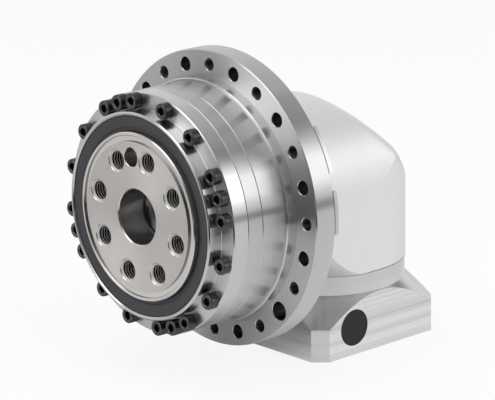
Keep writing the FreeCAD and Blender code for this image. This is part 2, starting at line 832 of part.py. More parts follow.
def bevel_blank(teeth, mate_teeth):
    """A straight bevel gear with its apex at the origin and its axis along +Z.

    Teeth are involutes of the virtual spur gear on the back cone, drawn towards the apex.
    """
    pitch_r = bevel_module * teeth / 2
    cone = math.atan2(teeth, mate_teeth)
    reach = pitch_r / math.tan(cone)
    virtual_r = pitch_r / math.cos(cone)
    base_r = virtual_r * math.cos(math.radians(pressure_angle))
    tooth_half = math.pi * bevel_module / 4 - bevel_backlash / 2

    def involute(radius):
        turn = math.acos(min(1.0, base_r / radius))
        return math.tan(turn) - turn

    flank = []
    for share in (-1.2, -0.8, -0.4, 0.0, 0.35, 0.7, 1.0):
        height = share * bevel_module
        radius = virtual_r + height
        half_angle = tooth_half / virtual_r + involute(virtual_r) - involute(max(radius, base_r))
        scale = reach / (reach - height * math.sin(cone))
        flank.append(((pitch_r + height * math.cos(cone)) * scale, half_angle * virtual_r / pitch_r))
    pitch = 2 * math.pi / teeth
    outline = []
    for k in range(teeth):
        centre = k * pitch
        outline += [(radius, centre - half) for radius, half in flank]
        outline += [(radius, centre + half) for radius, half in reversed(flank)]
    tip = bevel_module * 1.1
    heel = tip * 1.3
    back = reach + heel * math.sin(cone)
    wires = []
    for scale in (back / reach + seat_clear, 1 - bevel_face_share):
        corners = [Vector(r * math.cos(t), r * math.sin(t), reach) * scale for r, t in outline]
        wires.append(Part.makePolygon(corners + corners[:1]))
    blank = Part.makeLoft(wires, True, True)
    back_cone = [
        (0, reach * (1 - bevel_face_share)),
        (2 * pitch_r, reach * (1 - bevel_face_share)),
        (pitch_r + 2 * tip * math.cos(cone), reach - 2 * tip * math.sin(cone)),
        (pitch_r - heel * math.cos(cone), back),
        (0, back),
    ]
    points = [Vector(r, 0, z) for r, z in back_cone]
    trim = Part.Face(Part.makePolygon(points + points[:1])).revolve(Vector(0, 0, 0), Vector(0, 0, 1), 360)
    return blank.common(trim), back


def bevel_gear():
    """The larger bevel gear, with a tooth on the line where the two gears meet."""
    blank, back = bevel_blank(gear_teeth, pinion_teeth)
    hub_r = gear_seat_d / 2 + bevel_module * 3
    hub = Part.makeCylinder(hub_r, y_axis - y_gear_bearing_end - seat_clear - back, Vector(0, 0, back))
    gear = blank.fuse(hub)
    gear = gear.cut(Part.makeCylinder(gear_seat_d / 2 + seat_clear, y_axis))
    gear.rotate(Vector(0, 0, 0), Vector(1, 0, 0), 90)
    gear.rotate(Vector(0, 0, 0), Vector(0, 1, 0), 90)
    gear.translate(Vector(0, y_axis, 0))
    return gear


def bevel_pinion():
    """The smaller bevel gear, with a tooth space on the line where the two gears meet."""
    blank, back = bevel_blank(pinion_teeth, gear_teeth)
    hub_r = pinion_seat_d / 2 + bevel_module * 3
    z_shoulder = upper_bearing_top - edge_break * 2
    hub = Part.makeCylinder(hub_r, z_shoulder - seat_clear - back, Vector(0, 0, back))
    pinion = blank.fuse(hub)
    pinion = pinion.cut(Part.makeCylinder(pinion_seat_d / 2 + seat_clear, upper_bearing_top))
    pinion.rotate(Vector(0, 0, 0), Vector(0, 0, 1), 90 + 180.0 / pinion_teeth)
    pinion.rotate(Vector(0, 0, 0), Vector(0, 1, 0), 180)
    pinion.translate(Vector(0, y_axis, 0))
    return pinion


def gear_shaft():
    """Quill shaft: a sleeve over the eccentric shaft's stub, the bearing journal and the gear seat."""
    y_stub = y_rear_shaft_bearing + rear_shaft_bearing_t
    y_start = y_stub + edge_break
    journal_r = gear_journal_d / 2
    y_tip = y_axis - gear_tip_reach()
    body = turned([
        (stub_d / 2 + seat_clear, y_start),
        (gear_tube_d / 2, y_start),
        (gear_tube_d / 2, y_gear_bearing - gear_collar),
        (journal_r + gear_collar, y_gear_bearing - gear_collar),
        (journal_r + gear_collar, y_gear_bearing),
        (journal_r, y_gear_bearing),
        (journal_r, y_gear_bearing_end),
        (gear_seat_d / 2, y_gear_bearing_end),
        (gear_seat_d / 2, y_tip - edge_break),
        (0, y_tip - edge_break),
        (0, y_stub + stub_len + edge_break),
        (stub_d / 2 + seat_clear, y_stub + stub_len + edge_break),
    ])
    return body.cut(along_y(screw_d / 2 + seat_clear, y_tip - gear_screw_grip(), gear_screw_grip()))


def gear_tip_reach():
    """Distance from the apex to the gear's small end."""
    return pinion_pitch_r * (1 - bevel_face_share)


def gear_screw_grip():
    return screw_d * 3


def end_screw(seat_r):
    """Washer and low head screw that hold a gear on its seat, along +Y with the washer's seat at y = 0."""
    washer = sleeve(screw_d / 2 + screw_hole_gap, seat_r + bevel_module, 0, -bevel_module)
    head_h = screw_head_h * 0.6
    screw = cap_screw(screw_d, gear_screw_grip(), screw_head_d, head_h, screw_socket * 0.8)
    screw.translate(Vector(0, -bevel_module, 0))
    return Part.makeCompound([washer, screw])


def gear_end_screw():
    screw = end_screw(gear_seat_d / 2 - bevel_module * 2)
    screw.rotate(Vector(0, 0, 0), Vector(1, 0, 0), 180)
    screw.translate(Vector(0, y_axis - gear_tip_reach(), 0))
    return screw


def pinion_tip():
    """Height of the pinion's small end, below the output axis."""
    return -gear_pitch_r * (1 - bevel_face_share)


def pinion_end_screw():
    screw = end_screw(pinion_seat_d / 2 - bevel_module)
    screw.rotate(Vector(0, 0, 0), Vector(1, 0, 0), -90)
    screw.translate(Vector(0, y_axis, pinion_tip()))
    return screw


def input_shaft():
    """Pinion seat, two bearing journals and the slotted clamp hub for the motor shaft."""
    journal_r = input_journal_d / 2
    z_shoulder = -upper_bearing_top + edge_break * 2
    body = turned_upright([
        (0, pinion_tip() - edge_break),
        (pinion_seat_d / 2, pinion_tip() - edge_break),
        (pinion_seat_d / 2, z_shoulder),
        (journal_r, z_shoulder),
        (journal_r, z_lower_bearing),
        (input_neck_d / 2, z_lower_bearing),
        (input_neck_d / 2, z_hub_top),
        (clamp_hub_r - edge_break, z_hub_top),
        (clamp_hub_r, z_hub_top - edge_break),
        (clamp_hub_r, z_hub_bottom + edge_break),
        (clamp_hub_r - edge_break, z_hub_bottom),
        (motor_shaft_d / 2, z_hub_bottom),
        (motor_shaft_d / 2, z_hub_bottom + motor_shaft_depth),
        (0, z_hub_bottom + motor_shaft_depth),
    ])
    corner = Vector(-clamp_slot_w / 2, y_axis - clamp_hub_r - clamp_slot_w, z_hub_bottom)
    slot = Part.makeBox(clamp_slot_w, clamp_hub_r, clamp_hub_len, corner)
    y_screw = y_axis - clamp_screw_offset
    shank_r = clamp_screw_d / 2 + seat_clear
    head_r = clamp_screw_head_d / 2 + screw_hole_gap
    cuts = [
        slot,
        along_x(shank_r, clamp_head_seat - clamp_screw_len - edge_break, clamp_screw_len + edge_break,
                y_screw, z_clamp_screw),
        along_x(head_r, clamp_head_seat, clamp_hub_r, y_screw, z_clamp_screw),
        along_z(screw_d / 2 + seat_clear, pinion_tip() - gear_screw_grip(), gear_screw_grip()),
    ]
    return body.cut(cuts)


def clamp_screw():
    socket = screw_socket * 1.2
    screw = cap_screw(clamp_screw_d, clamp_screw_len, clamp_screw_head_d, clamp_screw_head_h, socket)
    screw.rotate(Vector(0, 0, 0), Vector(0, 0, 1), 90)
    screw.translate(Vector(clamp_head_seat, y_axis - clamp_screw_offset, z_clamp_screw))
    return screw


def adapter_screw_angles():
    return even_angles(adapter_screw_count, 180.0 / adapter_screw_count)


def adapter_screw_holes():
    """Holes for the screws that come up from the adapter's ceiling into the elbow."""
    radius = screw_d / 2 + screw_hole_gap
    hole = along_z(radius, z_ceiling, adapter_screw_grip + edge_break, 0, adapter_circle_r)
    return ring_of(hole, adapter_screw_angles(), Vector(0, y_axis, 0), Vector(0, 0, 1))


def adapter_screws():
    screw = cap_screw(screw_d, adapter_screw_grip, screw_head_d, screw_head_h, screw_socket)
    screw.rotate(Vector(0, 0, 0), Vector(1, 0, 0), 90)
    screw.translate(Vector(0, y_axis + adapter_circle_r, z_ceiling))
    return ring_of(screw, adapter_screw_angles(), Vector(0, y_axis, 0), Vector(0, 0, 1))


def motor_adapter():
    """Turned collar and 45 degree cone that run out into a square base with flattened corners."""
    half = motor_size / 2
    collar_r = elbow_r - collar_inset
    flat = half - corner_chamfer
    corners = [(half, -flat), (half, flat), (flat, half), (-flat, half),
               (-half, flat), (-half, -flat), (-flat, -half), (flat, -half)]
    height = z_collar - z_motor
    block = prism([Vector(x, y_axis + y, z_motor) for x, y in corners], Vector(0, 0, height))
    cone = Part.makeCone(collar_r + height, collar_r, height, Vector(0, y_axis, z_motor), Vector(0, 0, 1))
    collar = turned_upright([
        (0, z_collar),
        (collar_r, z_collar),
        (collar_r, z_joint - seam_break),
        (collar_r - seam_break, z_joint),
        (0, z_joint),
    ])
    body = block.common(cone).fuse(collar).removeSplitter()
    seat_r = input_bearing_r + seat_clear
    neck_r = input_neck_d / 2 + input_seal_w
    z_seal = z_ceiling + input_seal_t + seat_clear
    bolt = along_z(motor_bolt_d / 2, z_motor, motor_bolt_depth, 0, motor_bolt_pcd / 2)
    quarter_turns = even_angles(4, 45.0)
    cuts = [
        along_z(motor_pilot_d / 2, z_motor, motor_pilot_depth),
        along_z(motor_room_r, z_motor, z_ceiling - z_motor),
        along_z(seat_r, z_lower_bearing - seat_clear, z_joint - z_lower_bearing + seat_clear),
        along_z(neck_r - screw_d / 3, z_ceiling, z_joint - z_ceiling),
        along_z(neck_r + seat_clear, z_ceiling, z_seal - z_ceiling),
        ring_of(bolt, quarter_turns, Vector(0, y_axis, 0), Vector(0, 0, 1)),
        adapter_screw_holes(),
        along_x(plug_d / 2, 0, motor_size, y_axis - clamp_screw_offset, z_clamp_screw),
    ]
    return body.cut(cuts)


def access_plug():
    """Press-in plug over the clamp screw, with a shallow dish in its face."""
    radius = plug_d / 2 - run_clear
    start = motor_size / 2 - plug_recess - plug_t
    body = along_x(radius, start, plug_t, 0, 0)
    dish = along_x(radius - edge_break * 2, start - seam_break, plug_t / 2, 0, 0)
    body = body.cut(dish)
    body.translate(Vector(0, y_axis - clamp_screw_offset, z_clamp_screw))
    return body


def input_seal():
    inner_r = input_neck_d / 2 + run_clear
    outer_r = input_neck_d / 2 + input_seal_w
    return sleeve_upright(inner_r, outer_r, z_ceiling, input_seal_t)


def bearing_spacers():
    """Distance rings between the two input bearings: one on the shaft, one in the bore."""
    z_start = z_lower_bearing + input_bearing_t + seat_clear
    length = input_bearing_space - 2 * seat_clear
    wall = input_bearing_w / 4
    inner_r = input_journal_d / 2
    inner = sleeve_upright(inner_r + seat_clear, inner_r + wall, z_start, length)
    outer = sleeve_upright(input_bearing_r - wall, input_bearing_r, z_start, length)
    return inner, outer


def front_spacer():
    outer_r = output_bore_r - seat_clear
    return sleeve(outer_r - spacer_wall, outer_r, y_spacer + 2 * seat_clear, spacer_t - 3 * seat_clear)


def case_screws():
    screw = cap_screw(screw_d, case_screw_grip, screw_head_d, screw_head_h, screw_socket)
    screw.translate(Vector(0, y_seat, screw_circle_r))
    return ring_of(screw, case_screw_angles())


def all_nodes():
    front = plain_bearing_set(front_journal_d / 2 + seat_clear, output_bore_r - seat_clear,
                              y_front_bearing, front_bearing_t, front_roller_count)
    rear_shaft_r = rear_journal_d / 2
    rear_shaft = plain_bearing_set(rear_shaft_r + seat_clear, rear_shaft_r + rear_shaft_bearing_w,
                                   y_rear_shaft_bearing + seat_clear, rear_shaft_bearing_t,
                                   rear_shaft_roller_count)
    rear = plain_bearing_set(rear_plate_r + seat_clear, rear_bearing_r, y_rear_bearing + seat_clear,
                             rear_bearing_t - seat_clear, rear_roller_count)
    gear = taper_bearing_set(gear_journal_d / 2 + seat_clear, gear_bearing_r, y_gear_bearing + seat_clear,
                             gear_bearing_t - 2 * seat_clear, gear_roller_count, -1)
    upper = taper_bearing_set(input_journal_d / 2 + seat_clear, input_bearing_r, 0, input_bearing_t,
                              input_roller_count, 1)
    lower = taper_bearing_set(input_journal_d / 2 + seat_clear, input_bearing_r, 0, input_bearing_t,
                              input_roller_count, -1)
    upper = [upright(shape, z_upper_bearing, input_bearing_t) for shape in upper]
    lower = [upright(shape, z_lower_bearing, input_bearing_t) for shape in lower]
    inner_spacer, outer_spacer = bearing_spacers()
    return {
        "output_flange": output_flange(),
        "output_seal": output_seal(),
        "front_bearing_ring": front_ring(),
        "middle_bearing_ring": middle_ring(),
        "pin_housing": pin_housing(),
        "ring_pins": ring_pins(),
        "case_screws": case_screws(),
        "main_rollers": main_rollers(),
        "cycloid_disc_front": cycloid_disc(y_disc_front, 0),
        "cycloid_disc_rear": cycloid_disc(y_disc_rear, 180),
        "eccentric_rollers_front": eccentric_rollers(y_disc_front, 0),
        "eccentric_rollers_rear": eccentric_rollers(y_disc_rear, 180),
        "output_pins": output_pins(),
        "output_rollers": output_rollers(),
        "rear_carrier_plate": rear_plate(),
        "carrier_screws": carrier_screws(),
        "carrier_bearing_inner": rear[0],
        "carrier_bearing_outer": rear[1],
        "carrier_bearing_rollers": rear[2],
        "eccentric_shaft": eccentric_shaft(),
        "front_shaft_bearing_inner": front[0],
        "front_shaft_bearing_outer": front[1],
        "front_shaft_bearing_rollers": front[2],
        "front_bearing_spacer": front_spacer(),
        "front_circlip": front_circlip(),
        "rear_shaft_bearing_inner": rear_shaft[0],
        "rear_shaft_bearing_outer": rear_shaft[1],
        "rear_shaft_bearing_rollers": rear_shaft[2],
        "gear_shaft": gear_shaft(),
        "gear_bearing_cone": gear[0],
        "gear_bearing_cup": gear[1],
        "gear_bearing_rollers": gear[2],
        "gear_bearing_circlip": elbow_circlip(),
        "bevel_gear": bevel_gear(),
        "gear_end_screw": gear_end_screw(),
        "bevel_pinion": bevel_pinion(),
        "pinion_end_screw": pinion_end_screw(),
        "input_shaft": input_shaft(),
        "clamp_screw": clamp_screw(),
        "upper_input_bearing_cone": upper[0],
        "upper_input_bearing_cup": upper[1],
        "upper_input_bearing_rollers": upper[2],
        "lower_input_bearing_cone": lower[0],
        "lower_input_bearing_cup": lower[1],
        "lower_input_bearing_rollers": lower[2],
        "input_spacer_inner": inner_spacer,
        "input_spacer_outer": outer_spacer,
        "input_seal": input_seal(),
        "elbow_housing": elbow_housing(),
        "elbow_screws": elbow_screws(),
        "motor_adapter": motor_adapter(),
        "adapter_screws": adapter_screws(),
        "access_plug": access_plug(),
    }


os.makedirs("parts", exist_ok=True)
for name, shape in all_nodes().items():
    shape.exportStep("parts/" + name + ".step")
    print(name, len(shape.Solids), "solids", round(shape.Volume), "mm3", shape.isValid())
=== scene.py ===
import math

import bmesh
import bpy
from mathutils import Matrix, Vector


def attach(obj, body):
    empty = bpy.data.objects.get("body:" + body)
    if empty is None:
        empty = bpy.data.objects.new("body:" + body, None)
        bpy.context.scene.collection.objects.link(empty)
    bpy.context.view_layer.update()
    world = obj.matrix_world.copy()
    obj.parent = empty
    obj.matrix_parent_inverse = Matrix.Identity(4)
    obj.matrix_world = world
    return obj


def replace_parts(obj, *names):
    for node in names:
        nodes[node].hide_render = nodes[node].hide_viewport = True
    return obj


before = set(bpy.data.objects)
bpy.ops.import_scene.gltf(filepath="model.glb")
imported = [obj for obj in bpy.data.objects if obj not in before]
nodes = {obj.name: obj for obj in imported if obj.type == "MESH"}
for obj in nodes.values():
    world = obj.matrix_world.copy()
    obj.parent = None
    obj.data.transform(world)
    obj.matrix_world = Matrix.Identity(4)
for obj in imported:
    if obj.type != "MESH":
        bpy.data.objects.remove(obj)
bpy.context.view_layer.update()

mm = 0.001
scene = bpy.context.scene
scene.view_settings.view_transform = "Standard"

outputAxis = Vector((0, 1, 0))
inputAxisY = 95.8 * mm  # the motor axis stands this far behind the mounting flange
faceY = -61.6 * mm  # front face of the output flange
quarterTurn = 0.25  # anisotropic rotation: highlights run across the tool lines
weld = 0.002 * mm  # vertices closer than this are one


# Small helpers

def polar(radius, degrees):
    turn = math.radians(degrees)
    return Vector((radius * math.sin(turn), 0, radius * math.cos(turn)))


def only(kind, geometry):
    return [item for item in geometry if isinstance(item, kind)]


def addPiece(bm, name, body):
    bmesh.ops.remove_doubles(bm, verts=bm.verts, dist=weld)
    bmesh.ops.recalc_face_normals(bm, faces=bm.faces)
    mesh = bpy.data.meshes.new(name)
    bm.to_mesh(mesh)
    bm.free()
    piece = bpy.data.objects.new(name, mesh)
    scene.collection.objects.link(piece)
    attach(piece, body)
    return piece


def smoothByAngle(mesh, degrees):
    mesh.shade_smooth()
    mesh.set_sharp_from_angle(angle=math.radians(degrees))


def paint(piece, *finish):  # clearing an empty list would lose the faces' own material numbers
    if piece.data.materials:
        piece.data.materials.clear()
    for material in finish:
        piece.data.materials.append(material)


# Node helpers and groups

def newGroup(name, inputs, outputs):
    group = bpy.data.node_groups.new(name, "ShaderNodeTree")
    for label, kind, value in inputs:
        socket = group.interface.new_socket(label, in_out="INPUT", socket_type=kind)
        socket.default_value = value
    for label, kind in outputs:
        group.interface.new_socket(label, in_out="OUTPUT", socket_type=kind)
    return group, group.nodes.new("NodeGroupInput"), group.nodes.new("NodeGroupOutput")


def feed(tree, socket, value):
    if isinstance(value, (int, float)):
        socket.default_value = value
    else:
        tree.links.new(value, socket)


def mathNode(tree, operation, *values, clamp=False):
    node = tree.nodes.new("ShaderNodeMath")
    node.operation = operation
    node.use_clamp = clamp
    for socket, value in zip(node.inputs, values):
        feed(tree, socket, value)
    return node.outputs[0]


def smoothStep(tree, value, start, end):
    node = tree.nodes.new("ShaderNodeMapRange")
    node.interpolation_type = "SMOOTHSTEP"
    for label, setting in (("Value", value), ("From Min", start), ("From Max", end)):
        feed(tree, node.inputs[label], setting)
    return node.outputs[0]


def blend(tree, factor, low, high):
    node = tree.nodes.new("ShaderNodeMix")
    feed(tree, node.inputs[0], factor)
    feed(tree, node.inputs[2], low)
    feed(tree, node.inputs[3], high)
    return node.outputs[0]


def blendColour(tree, factor, low, high):
    node = tree.nodes.new("ShaderNodeMix")
    node.data_type = "RGBA"
    feed(tree, node.inputs[0], factor)
    for socket, value in ((node.inputs[6], low), (node.inputs[7], high)):
        if isinstance(value, tuple):
            socket.default_value = value + (1,)
        else:
            tree.links.new(value, socket)
    return node.outputs[2]


def noise(tree, vector, scale, detail=2.0, roughness=0.5):
    node = tree.nodes.new("ShaderNodeTexNoise")
    node.inputs["Detail"].default_value = detail
    node.inputs["Roughness"].default_value = roughness
    tree.links.new(vector, node.inputs["Vector"])
    feed(tree, node.inputs["Scale"], scale)
    return node.outputs["Fac"]


def splitVector(tree, vector):
    node = tree.nodes.new("ShaderNodeSeparateXYZ")
    tree.links.new(vector, node.inputs[0])
    return node.outputs


def length2(tree, a, b):
    squares = mathNode(tree, "ADD", mathNode(tree, "MULTIPLY", a, a), mathNode(tree, "MULTIPLY", b, b))
    return mathNode(tree, "SQRT", squares)


lineSet = dict(detail=3.0, roughness=0.6, wideShare=0.12, wideWeight=0.5, patchScale=38.0)
grainSet = dict(roughness=0.7, coarseShare=0.3, fineWeight=0.7, coarseWeight=0.3, toneScale=26.0, toneDetail=3.0)


def buildTurningLines(look):  # fine tool lines round an axis, on ends and on sides alike
    group, start, end = newGroup(
        "turningLines",
        [("Vector", "NodeSocketVector", (0, 0, 0)), ("Pitch", "NodeSocketFloat", 900.0),
         ("Drift", "NodeSocketFloat", 0.15)],
        [("Height", "NodeSocketFloat"), ("Tone", "NodeSocketFloat")])
    x, y, z = splitVector(group, start.outputs["Vector"])
    along = group.nodes.new("ShaderNodeCombineXYZ")
    group.links.new(length2(group, x, z), along.inputs[0])
    group.links.new(y, along.inputs[1])
    pitch = start.outputs["Pitch"]
    lines = noise(group, along.outputs[0], pitch, look["detail"], look["roughness"])
    wide = noise(group, along.outputs[0], mathNode(group, "MULTIPLY", pitch, look["wideShare"]), 1.0)
    patches = noise(group, start.outputs["Vector"], look["patchScale"])
    drift = mathNode(group, "MULTIPLY", patches, start.outputs["Drift"])
    tone = mathNode(group, "ADD", mathNode(group, "MULTIPLY", wide, look["wideWeight"]), drift, clamp=True)
    group.links.new(lines, end.inputs["Height"])
    group.links.new(tone, end.inputs["Tone"])
    return group


def buildFineGrain(look):  # even fine grain, with a slow change of tone over it
    group, start, end = newGroup(
        "fineGrain",
        [("Vector", "NodeSocketVector", (0, 0, 0)), ("Scale", "NodeSocketFloat", 1500.0)],
        [("Height", "NodeSocketFloat"), ("Tone", "NodeSocketFloat")])
    vector, scale = start.outputs["Vector"], start.outputs["Scale"]
    fine = noise(group, vector, scale, roughness=look["roughness"])
    coarse = noise(group, vector, mathNode(group, "MULTIPLY", scale, look["coarseShare"]), 1.0)
    height = mathNode(group, "ADD", mathNode(group, "MULTIPLY", fine, look["fineWeight"]),
                      mathNode(group, "MULTIPLY", coarse, look["coarseWeight"]))
    group.links.new(height, end.inputs["Height"])
    group.links.new(noise(group, vector, look["toneScale"], look["toneDetail"]), end.inputs["Tone"])
    return group


turningLines = buildTurningLines(lineSet)
fineGrain = buildFineGrain(grainSet)


# Materials

endFacing = 0.9  # a face whose normal goes this far along the axis is an end
sideFacing = 0.5  # and one whose normal goes less far than this is a side


def newMaterial(name):
    material = bpy.data.materials.new(name)
    material.use_nodes = True
    return material, material.node_tree, material.node_tree.nodes["Principled BSDF"]


def objectSpace(tree, place=(0, 0, 0), turn=(0, 0, 0), scale=(1, 1, 1)):
    coordinate = tree.nodes.new("ShaderNodeTexCoord")
    mapping = tree.nodes.new("ShaderNodeMapping")
    mapping.inputs["Location"].default_value = place
    mapping.inputs["Rotation"].default_value = turn
    mapping.inputs["Scale"].default_value = scale
    tree.links.new(coordinate.outputs["Object"], mapping.inputs["Vector"])
    return mapping.outputs["Vector"]


def axisSpace(tree, axis):  # puts the turning axis on Y
    if axis == "Y":
        return objectSpace(tree)
    return objectSpace(tree, (0, 0, -inputAxisY), (math.radians(90), 0, 0))


def useGroup(tree, group, vector, **values):
    node = tree.nodes.new("ShaderNodeGroup")
    node.node_tree = group
    tree.links.new(vector, node.inputs["Vector"])
    for label, value in values.items():
        node.inputs[label].default_value = value
    return node.outputs


def addBump(tree, shader, height, depth):
    bump = tree.nodes.new("ShaderNodeBump")
    bump.inputs["Distance"].default_value = depth
    tree.links.new(height, bump.inputs["Height"])
    tree.links.new(bump.outputs["Normal"], shader.inputs["Normal"])


def stretchHighlights(tree, shader, axis, amount):
    tangent = tree.nodes.new("ShaderNodeTangent")
    tangent.direction_type = "RADIAL"
    tangent.axis = axis
    tree.links.new(tangent.outputs["Tangent"], shader.inputs["Tangent"])
    shader.inputs["Anisotropic"].default_value = amount
    shader.inputs["Anisotropic Rotation"].default_value = quarterTurn


def inBand(tree, value, low, high):
    return mathNode(tree, "MULTIPLY", mathNode(tree, "GREATER_THAN", value, low),
                    mathNode(tree, "LESS_THAN", value, high))


def turnedMetal(name, look, axis="Y"):
    material, tree, shader = newMaterial(name)
    vector = axisSpace(tree, axis)
    lines = useGroup(tree, turningLines, vector, Pitch=look["pitch"], Drift=look["drift"])
    colour = blendColour(tree, lines["Tone"], look["dark"], look["light"])
    rough = blend(tree, lines["Tone"], *look["rough"])
    facing = splitVector(tree, tree.nodes.new("ShaderNodeNewGeometry").outputs["Normal"])["XYZ".index(axis)]
    facing = mathNode(tree, "ABSOLUTE", facing)
    end = mathNode(tree, "GREATER_THAN", facing, endFacing)
    side = mathNode(tree, "LESS_THAN", facing, sideFacing)
    x, y, z = splitVector(tree, vector)
    radius = length2(tree, x, z)
    if "endRough" in look:  # faces are rougher than sides, out to endRadius
        face = mathNode(tree, "MULTIPLY", end, mathNode(tree, "LESS_THAN", radius, look["endRadius"]))
        rough = blend(tree, face, rough, blend(tree, lines["Tone"], *look["endRough"]))
    for low, high, shade in look.get("holes", ()):  # painted shade: bored and drilled walls, and the channel's walls, are painted darker as if in shadow
        wall = mathNode(tree, "MULTIPLY", side, inBand(tree, radius, low * mm, high * mm))
        colour = blendColour(tree, wall, colour, tuple(shade * share for share in look["holeShadeTint"]))
        rough = blend(tree, wall, rough, look["holeRough"])
    tree.links.new(colour, shader.inputs["Base Color"])
    tree.links.new(rough, shader.inputs["Roughness"])
    shader.inputs["Metallic"].default_value = look.get("metal", 1.0)
    addBump(tree, shader, lines["Height"], look["depth"] * mm)
    if look["stretch"]:
        stretchHighlights(tree, shader, axis, look["stretch"])
    return material


def grainSurface(name, look):
    material, tree, shader = newMaterial(name)
    grain = useGroup(tree, fineGrain, objectSpace(tree), Scale=look["grain"])
    colour = blendColour(tree, grain["Tone"], look["dark"], look["light"])
    shader.inputs["Metallic"].default_value = look["metal"]
    if "endColour" in look:  # flat ends are brighter and more metallic than the sides
        facing = splitVector(tree, tree.nodes.new("ShaderNodeNewGeometry").outputs["Normal"])
        end = mathNode(tree, "GREATER_THAN", mathNode(tree, "ABSOLUTE", facing[1]), look["endFacing"])
        colour = blendColour(tree, end, colour, look["endColour"])
        tree.links.new(blend(tree, end, look["metal"], look["endMetal"]), shader.inputs["Metallic"])
    tree.links.new(colour, shader.inputs["Base Color"])
    tree.links.new(blend(tree, grain["Height"], *look["rough"]), shader.inputs["Roughness"])
    shader.inputs["Specular IOR Level"].default_value = look.get("gloss", 0.5)
    addBump(tree, shader, grain["Height"], look["depth"] * mm)
    return material


turnedLooks = {
    # holes is painted shade: radius bands (low, high in mm, shade) whose side walls are darkened as if in shadow
    "outputFace": dict(dark=(0.68, 0.655, 0.63), light=(0.82, 0.795, 0.77), rough=(0.16, 0.24), pitch=1500.0,
                       drift=0.5, depth=0.006, stretch=0.45, endRough=(0.54, 0.62), endRadius=47.4 * mm,
                       holes=((0, 19.5, 0.6), (29, 46, 0.5), (46.8, 51.8, 0.35)), holeShadeTint=(1, 0.98, 0.96),
                       holeRough=0.3),
    "polishedRing": dict(dark=(0.66, 0.66, 0.67), light=(0.78, 0.78, 0.79), rough=(0.18, 0.25), pitch=1100.0,
                         drift=0.4, depth=0.002, stretch=0.8, endRough=(0.30, 0.36), endRadius=80 * mm),
    # painted shade: the walls of the flange's clearance holes are painted nearly black, as if in shadow
    "turnedHousing": dict(dark=(0.64, 0.64, 0.65), light=(0.76, 0.76, 0.77), rough=(0.22, 0.28), pitch=900.0,
                          drift=0.4, depth=0.003, stretch=1.0, endRough=(0.36, 0.42), endRadius=100 * mm,
                          holes=((79, 92.5, 0.05),), holeShadeTint=(1, 0.98, 0.96), holeRough=0.4),
    "groundSteel": dict(dark=(0.42, 0.42, 0.43), light=(0.56, 0.56, 0.57), rough=(0.24, 0.36), pitch=1200.0,
                        drift=0.4, depth=0.003, stretch=0.0),
    # painted shade: the output threads' flanks are painted dark, as if in shade inside the holes
    "shadedThreadFlank": dict(dark=(0.09, 0.088, 0.086), light=(0.17, 0.166, 0.163), rough=(0.22, 0.30), pitch=1600.0,
                        drift=0.5, depth=0.002, stretch=0.0),
    # painted shade: the flange's tapped threads are painted near black, as if in shadow inside the holes
    "shadedThread": dict(dark=(0.04, 0.039, 0.038), light=(0.09, 0.088, 0.085), rough=(0.26, 0.36), pitch=1600.0,
                       drift=0.5, depth=0.002, stretch=0.0),
    # painted light: the crests and the countersink are painted bright and partly diffuse, as if lit from the front
    "litThreadCrest": dict(dark=(0.78, 0.77, 0.76), light=(0.92, 0.91, 0.90), rough=(0.30, 0.38), pitch=1600.0,
                        drift=0.5, depth=0.002, stretch=0.0, metal=0.35),
    "countersink": dict(dark=(0.60, 0.59, 0.58), light=(0.74, 0.73, 0.72), rough=(0.50, 0.58), pitch=1600.0,
                        drift=0.5, depth=0.004, stretch=0.0, metal=0.4),
}
grainLooks = {
    "blackOxide": dict(dark=(0.007, 0.007, 0.008), light=(0.014, 0.014, 0.016), rough=(0.2, 0.3), grain=2500.0,
                       depth=0.005, metal=0.0, gloss=0.8, endColour=(0.11, 0.11, 0.115), endMetal=0.9,
                       endFacing=0.6),
    # black oxide, painted darker still as shade in the socket's recess
    "blackSocketShade": dict(dark=(0.004, 0.004, 0.004), light=(0.009, 0.009, 0.010), rough=(0.55, 0.7), grain=2500.0,
                        depth=0.005, metal=0.0, gloss=0.2),
    "sealRubber": dict(dark=(0.046, 0.046, 0.053), light=(0.066, 0.066, 0.074), rough=(0.5, 0.62), grain=1800.0,
                       depth=0.012, metal=0.0, gloss=0.35),
    "plugPlastic": dict(dark=(0.014, 0.014, 0.016), light=(0.022, 0.022, 0.024), rough=(0.5, 0.62), grain=2400.0,
                        depth=0.01, metal=0.0, gloss=0.3),
    "gearSteel": dict(dark=(0.40, 0.39, 0.37), light=(0.52, 0.51, 0.49), rough=(0.3, 0.42), grain=1400.0,
                      depth=0.01, metal=1.0),
}

castLook = dict(dark=(0.80, 0.80, 0.81), light=(0.95, 0.95, 0.96), rough=(0.42, 0.56), grain=1300.0, depth=0.11,
                metal=0.62, turnedRough=0.34, turnedRadius=77.6 * mm, turnedY=19.2 * mm, turnedDepth=0.03,
                turnedColour=(0.70, 0.70, 0.71), turnedMetal=1.0, pitch=900.0, drift=0.3, toneWeight=0.35,
                # the seam entries paint shade: a dark line along the joint with the collar, as if in the gap's
                # shadow
                grainWeight=0.65, seamZ=-55.6 * mm, seamWidth=0.75 * mm, seamScale=60.0, seamDetail=3.0,
                jointShadeColour=(0.03, 0.03, 0.03))


